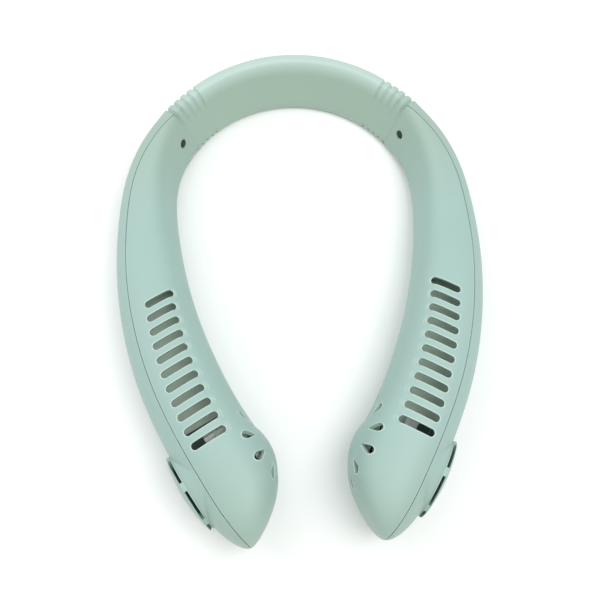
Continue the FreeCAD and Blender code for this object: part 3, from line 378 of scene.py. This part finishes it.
class Finish:
    """One material, built up from nodes round a Principled shader."""

    def __init__(self, name, fixed=None):
        self.material = bpy.data.materials.new(name)
        self.material.use_nodes = True
        self.tree = self.material.node_tree
        self.shader = self.tree.nodes["Principled BSDF"]
        for socket, value in (fixed or {}).items():
            self.shader.inputs[socket].default_value = value
        self.place = self.node("ShaderNodeTexCoord").outputs["Object"]

    def feed(self, socket, value):
        if isinstance(value, Level):
            value = value.socket
        if isinstance(value, bpy.types.NodeSocket):
            self.tree.links.new(value, socket)
        else:
            socket.default_value = value

    def node(self, kind, settings=None, sockets=None):
        made = self.tree.nodes.new(kind)
        for key, value in (settings or {}).items():
            setattr(made, key, value)
        for key, value in (sockets or {}).items():
            self.feed(made.inputs[key], value)
        return made

    def noise(self, size, detail=2.0, place=None):
        """A cloudy pattern from 0 to 1 whose lumps are about a size across."""
        made = self.node("ShaderNodeTexNoise", None, {
            "Vector": place or self.place, "Scale": 1 / size, "Detail": detail})
        return Level(self, made.outputs["Fac"])

    def cells(self, size):
        """A pattern of cells about a size across, 0 in the middle of each."""
        made = self.node("ShaderNodeTexVoronoi", None, {"Vector": self.place, "Scale": 1 / size})
        return Level(self, made.outputs["Distance"])

    def along(self, axis):
        """Where a place is along X, sideways, Y, towards the nape, or Z, up."""
        parts = self.node("ShaderNodeSeparateXYZ", None, {0: self.place})
        return Level(self, parts.outputs[axis])

    def round_neck(self):
        """How far round the neck a place is, as the tangent of its angle from the band's middle."""
        return abs(self.along("X")) / (self.along("Y") - NECK_CENTRE.y)

    def stretched(self, x, y, z):
        """Places for a pattern. The larger the number of an axis, the finer the pattern along it."""
        made = self.node("ShaderNodeMapping", None, {"Vector": self.place, "Scale": (x, y, z)})
        return made.outputs[0]

    def blend(self, share, first, second):
        """A colour between two others. A Mix node's colours are its inputs 6 and 7 and its output 2."""
        made = self.node("ShaderNodeMix", {"data_type": "RGBA"}, {0: share, 6: first, 7: second})
        return made.outputs[2]

    def rounded(self, radius):
        """The direction of the surface, with its edges rounded a little."""
        made = self.node("ShaderNodeBevel", {"samples": EDGE_SAMPLES}, {"Radius": radius})
        return made.outputs[0]

    def edges(self, radius):
        """A pattern that is 0 on open faces and rises to about 1 along edges."""
        facing = self.node("ShaderNodeNewGeometry").outputs["Normal"]
        likeness = self.node("ShaderNodeVectorMath", {"operation": "DOT_PRODUCT"},
                             {0: self.rounded(radius), 1: facing})
        return (1 - Level(self, likeness.outputs["Value"])) * EDGE_GAIN

    def colour(self, value):
        self.feed(self.shader.inputs["Base Color"], value)

    def roughness(self, least, spread, pattern):
        """Roughness from its least value upwards, as a pattern goes from 0 to 1."""
        self.feed(self.shader.inputs["Roughness"], least + spread * pattern)

    def relief(self, height, depth, strength, rounding=0.0):
        """Bump from a height pattern, on edges that can be rounded a little."""
        sockets = {"Height": height, "Distance": depth, "Strength": strength}
        if rounding:
            sockets["Normal"] = self.rounded(rounding)
        bump = self.node("ShaderNodeBump", None, sockets)
        self.feed(self.shader.inputs["Normal"], bump.outputs[0])


def tint(red, green, blue):
    """A colour as the eye names it, from 0 to 255, in the linear form that shaders take."""
    named = Color((red / 255, green / 255, blue / 255))
    return (*named.from_srgb_to_scene_linear(), 1.0)


# Main colours of the plastic and the rubber

MINT = tint(158, 188, 181)
MINT_SHADE = tint(154, 183, 176)
MINT_ENDS = tint(157, 181, 168)
# Painted highlight for the edges round the vents
PAINTED_EDGE_HIGHLIGHT = tint(208, 227, 217)
SAGE = tint(163, 187, 171)
SAGE_SHADE = tint(158, 182, 166)
# Painted highlight for the top of the band's rim
PAINTED_RIM_HIGHLIGHT = tint(184, 207, 199)


# Kinds of finish

def moulded_plastic(name, base, shade, roughness, grain, rounding=0.0, ends=None, edge_highlight=None):
    """Satin moulded plastic: a fine spark-eroded grain, slow drift of colour and faint handling marks.
    An arm's plastic is warmer towards its ends, and round the vents its edges carry a painted highlight,
    a paler colour along them."""
    finish = Finish(name)
    colour = finish.blend(finish.noise(size=38 * MM, detail=3), base, shade)
    if ends:
        from_middle = abs(finish.along("Y") - ARM_MIDDLE)
        colour = finish.blend(progress(from_middle, ENDS_NEAR, ENDS_FAR), colour, ends)
    # Painted highlight: a paler colour along the edges round the vents
    if edge_highlight:
        at_vents = 1 - (finish.along("Y") > VENTS_END)
        colour = finish.blend(finish.edges(EDGE_HIGHLIGHT_WIDTH) * at_vents, colour, edge_highlight)
    finish.colour(colour)
    handled = finish.noise(size=9 * MM, detail=4)
    finish.roughness(least=roughness - 0.05, spread=0.1, pattern=handled)
    fine = finish.noise(size=grain, detail=2)
    coarse = finish.noise(size=COARSE_GRAIN * grain, detail=1)
    finish.relief(fine + COARSE_SHARE * coarse, depth=0.02 * MM, strength=0.35, rounding=rounding)
    return finish.material


def soft_rubber(name, base, shade, roughness, rim=None, far_base=None):
    """Silicone with a powdery skin that is a little uneven, with a painted highlight that grows paler up
    the rim.
    A sleeve takes on the arm's colour."""
    finish = Finish(name, {"Sheen Weight": 0.3, "Sheen Roughness": 0.4})
    drift = finish.noise(size=30 * MM, detail=3)
    dust = finish.noise(size=0.8 * MM, detail=4)
    colour = finish.blend((1 - DUST_SHARE) * drift + DUST_SHARE * dust, base, shade)
    # Painted highlight: paler towards the top of the rim
    if rim:
        colour = finish.blend(progress(finish.along("Z"), RIM_FOOT, RIM_CREST), colour, rim)
    if far_base:
        share = progress(finish.round_neck(), SLEEVE_NEAR, SLEEVE_FAR)
        colour = finish.blend(share, colour, far_base)
    finish.colour(colour)
    worn = finish.noise(size=4 * MM, detail=3)
    finish.roughness(least=roughness - 0.06, spread=0.12, pattern=worn)
    finish.relief(finish.noise(size=0.3 * MM, detail=3), depth=0.03 * MM, strength=0.3)
    return finish.material


def worked_metal(name, base, shade, roughness, stretch=(1, 1, 1)):
    """Metal with fine tool marks and slight tarnish."""
    finish = Finish(name, {"Metallic": 1.0})
    marks = finish.noise(size=0.25 * MM, detail=2, place=finish.stretched(*stretch))
    tarnish = finish.noise(size=3 * MM, detail=3)
    finish.colour(finish.blend(tarnish, base, shade))
    finish.roughness(least=roughness, spread=0.15, pattern=marks)
    finish.relief(marks, depth=0.02 * MM, strength=0.4)
    return finish.material


def cell_wrapper():
    """Shrunk film on the cell, with soft creases."""
    finish = Finish("cell_wrapper", {"Coat Weight": 0.3, "Coat Roughness": 0.2})
    creases = finish.noise(size=1.2 * MM, detail=2, place=finish.stretched(x=1, y=0.15, z=1))
    finish.colour(finish.blend(finish.noise(size=12 * MM), tint(58, 92, 128), tint(70, 108, 146)))
    finish.roughness(least=0.3, spread=0.15, pattern=creases)
    finish.relief(creases, depth=0.06 * MM, strength=0.5)
    return finish.material


def circuit_board():
    """Green lacquered board with paler tracks under the lacquer."""
    finish = Finish("circuit_board", {"Coat Weight": 0.4, "Coat Roughness": 0.15})
    tracks = finish.cells(size=1.6 * MM) > TRACK_EDGE
    finish.colour(finish.blend(tracks, tint(22, 84, 52), tint(48, 124, 80)))
    finish.roughness(least=0.4, spread=0.1, pattern=finish.noise(size=2 * MM))
    finish.relief(tracks, depth=0.03 * MM, strength=0.5)
    return finish.material


def clear_guide():
    """Frosted clear plastic that carries the lamp's light."""
    finish = Finish("clear_guide", {"Transmission Weight": 0.7, "IOR": 1.49})
    finish.colour(finish.blend(finish.noise(size=2 * MM), tint(232, 240, 238), tint(246, 250, 248)))
    finish.roughness(least=0.35, spread=0.15, pattern=finish.noise(size=0.5 * MM))
    finish.relief(finish.noise(size=0.2 * MM), depth=0.02 * MM, strength=0.4)
    return finish.material


def studio_floor_finish():
    """White board, very slightly clouded."""
    finish = Finish("studio_floor")
    finish.colour(finish.blend(finish.noise(size=0.4), tint(249, 250, 249), tint(251, 252, 251)))
    finish.roughness(least=0.7, spread=0.1, pattern=finish.noise(size=0.2))
    return finish.material


# The finishes, and the nodes that take them

ARM_PLASTIC = {"base": MINT, "shade": MINT_SHADE, "ends": MINT_ENDS,
               "roughness": 0.5, "grain": 0.35 * MM, "rounding": 0.6 * MM}
SHELL = moulded_plastic("shell_mint", **ARM_PLASTIC)
# The vented cover carries the painted highlight along its edges
VENTED_SHELL = moulded_plastic("vented_shell_mint", edge_highlight=PAINTED_EDGE_HIGHLIGHT, **ARM_PLASTIC)
CAP = moulded_plastic("cap_mint", base=tint(160, 190, 183), shade=MINT_SHADE, ends=MINT_ENDS,
                      roughness=0.52, grain=0.35 * MM, rounding=0.4 * MM)
BUTTON = moulded_plastic("button_mint", base=tint(180, 210, 202), shade=MINT,
                         roughness=0.5, grain=0.3 * MM, rounding=0.3 * MM)
INNER = moulded_plastic("inner_pale", base=tint(230, 247, 232), shade=tint(224, 241, 226),
                        roughness=0.55, grain=0.5 * MM)
IMPELLER = moulded_plastic("impeller_white", base=tint(240, 245, 241), shade=tint(232, 238, 234),
                           roughness=0.45, grain=0.4 * MM)
CHIP = moulded_plastic("chip_black", base=tint(34, 35, 37), shade=tint(44, 45, 47),
                       roughness=0.6, grain=0.2 * MM)
JACKET = soft_rubber("cable_jacket", base=tint(52, 54, 56), shade=tint(60, 62, 64), roughness=0.6)
# The band and the sleeves carry the painted highlight along the top of their rim
BAND = soft_rubber("band_sage", base=SAGE, shade=SAGE_SHADE, roughness=0.44, rim=PAINTED_RIM_HIGHLIGHT)
SLEEVE = soft_rubber("sleeve_sage", base=SAGE, shade=SAGE_SHADE, roughness=0.44, rim=PAINTED_RIM_HIGHLIGHT,
                     far_base=MINT_ENDS)
SCREW = worked_metal("screw_zinc", base=tint(74, 79, 78), shade=tint(60, 64, 63), roughness=0.42)
SPRING = worked_metal("spring_blued", base=tint(88, 92, 104), shade=tint(110, 106, 98),
                      roughness=0.3, stretch=(1, 1, 12))
IRON = worked_metal("motor_iron", base=tint(104, 102, 100), shade=tint(88, 86, 84),
                    roughness=0.5, stretch=(1, 1, 8))
STEEL = worked_metal("motor_steel", base=tint(170, 172, 174), shade=tint(150, 152, 154),
                     roughness=0.28, stretch=(1, 1, 10))
BRASS = worked_metal("bush_brass", base=tint(196, 164, 96), shade=tint(176, 144, 84), roughness=0.35)
SOCKET = worked_metal("socket_nickel", base=tint(182, 180, 174), shade=tint(164, 162, 158),
                      roughness=0.25)

NODE_FINISHES = {
    "inner_cover": VENTED_SHELL,
    "outer_cover": SHELL,
    "intake_cap": CAP,
    "band_anchor": INNER,
    "anchor_screw": SCREW,
    "cover_screws": SCREW,
    "motor_plate": INNER,
    "motor_screws": SCREW,
    "motor_stator": IRON,
    "motor_bush": BRASS,
    "battery": cell_wrapper(),
    "battery_cradle": INNER,
    "duct_wall": INNER,
    "impeller": IMPELLER,
    "rotor_can": STEEL,
    "motor_shaft": STEEL,
    "control_board": circuit_board(),
    "board_components": CHIP,
    "charging_socket": SOCKET,
    "tact_switch": CHIP,
    "power_button": BUTTON,
    "light_guide": clear_guide(),
}
REPLACED = ("neck_band", "left_sleeve", "right_sleeve", "spring_strip", "link_cable")


def paint(piece, material):
    piece.data.materials.clear()
    piece.data.materials.append(material)


for name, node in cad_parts.items():
    if name not in REPLACED:
        kind = name.removeprefix("left_").removeprefix("right_")
        paint(node, NODE_FINISHES[kind])

# Pieces of the band. The band goes on its body; the sleeves, strips and cables are mirrored to the left

band = make_neck_band()
paint(band, BAND)
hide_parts("neck_band")
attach(band, "band")

right_sleeve = make_right_sleeve()
right_strip = make_right_strand("right_spring_strip", STRIP_RISE, STRIP_THICKNESS, STRIP_HEIGHT,
                                STRIP_CORNERS, STRIP_CORNER_CUTS)
right_cable = make_right_strand("right_link_cable", CABLE_RISE, CABLE_DIAMETER, CABLE_DIAMETER,
                                CABLE_CORNERS, CABLE_CORNER_CUTS)
BENDING = (
    (right_sleeve, "left_sleeve_skin", SLEEVE, ("left_sleeve", "right_sleeve"), "soft_sleeve"),
    (right_strip, "left_spring_strip", SPRING, ("spring_strip", "spring_strip"), "spring_steel"),
    (right_cable, "left_link_cable", JACKET, ("link_cable", "link_cable"), "cable_jacket"),
)
for right_piece, left_name, finish, stood_for, slot in BENDING:
    paint(right_piece, finish)
    left_piece = mirrored(right_piece, left_name)
    for piece, side, arm, node in ((left_piece, -1, "left_arm", stood_for[0]),
                                   (right_piece, 1, "right_arm", stood_for[1])):
        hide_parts(node)
        NeckSection(side * BAND_END, BAND_MIDDLE).centre
        NeckSection(side * ARM_ROOT, BAND_MIDDLE).centre
        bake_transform(piece)

# Floor and light

FLOOR_SIDE = 6.0
WORLD_COLOUR = (1.0, 1.0, 1.0, 1.0)
WORLD_STRENGTH = 0.72

bpy.ops.object.select_all(action="DESELECT")
bpy.ops.mesh.primitive_plane_add(size=FLOOR_SIDE, location=(0, 0, 0))
floor = bpy.context.object
floor.name = "studio_floor"
paint(floor, studio_floor_finish())


def soft_box(name, place, width, power):
    """A square light that faces the middle of the table."""
    light = bpy.data.lights.new(name, "AREA")
    light.shape = "SQUARE"
    light.size = width
    light.energy = power
    lamp = bpy.data.objects.new(name, light)
    bpy.context.scene.collection.objects.link(lamp)
    lamp.location = place
    lamp.rotation_euler = (-Vector(place)).to_track_quat("-Z", "Y").to_euler()


soft_box("key_light", place=(-0.6, 0.5, 0.8), width=1.2, power=4.0)
soft_box("fill_light", place=(0.4, -0.1, 1.3), width=0.7, power=7.5)

world = bpy.data.worlds.new("studio")
world.use_nodes = True
background = world.node_tree.nodes["Background"]
background.inputs["Color"].default_value = WORLD_COLOUR
background.inputs["Strength"].default_value = WORLD_STRENGTH
bpy.context.scene.world = world
bpy.context.scene.view_settings.view_transform = "Standard"

# Camera, at the photograph's viewing angle

CAMERA_HEIGHT_ANGLE = math.radians(75)
CAMERA_YAW = math.radians(9.16)
CAMERA_ROLL = math.radians(6.0)
CAMERA_DISTANCE = 430 * MM
CAMERA_AIM = Vector((-1.249, -10.251, 25)) * MM
CAMERA_LENS = 49.2
CAMERA_SENSOR = 36
CAMERA_NEAREST = 0.01

back = Vector((-math.sin(CAMERA_YAW) * math.cos(CAMERA_HEIGHT_ANGLE),
               -math.cos(CAMERA_YAW) * math.cos(CAMERA_HEIGHT_ANGLE),
               math.sin(CAMERA_HEIGHT_ANGLE)))
level_right = (-back).cross(UP).normalized()
level_up = level_right.cross(-back)
right = level_right * math.cos(CAMERA_ROLL) + level_up * math.sin(CAMERA_ROLL)
upward = level_up * math.cos(CAMERA_ROLL) - level_right * math.sin(CAMERA_ROLL)
lens = bpy.data.cameras.new("camera")
lens.lens = CAMERA_LENS
lens.sensor_width = CAMERA_SENSOR
lens.clip_start = CAMERA_NEAREST
camera = bpy.data.objects.new("camera", lens)
bpy.context.scene.collection.objects.link(camera)
turned = Matrix((right, upward, back)).transposed().to_4x4()
camera.matrix_world = Matrix.Translation(CAMERA_AIM + back * CAMERA_DISTANCE) @ turned
bpy.context.scene.camera = camera
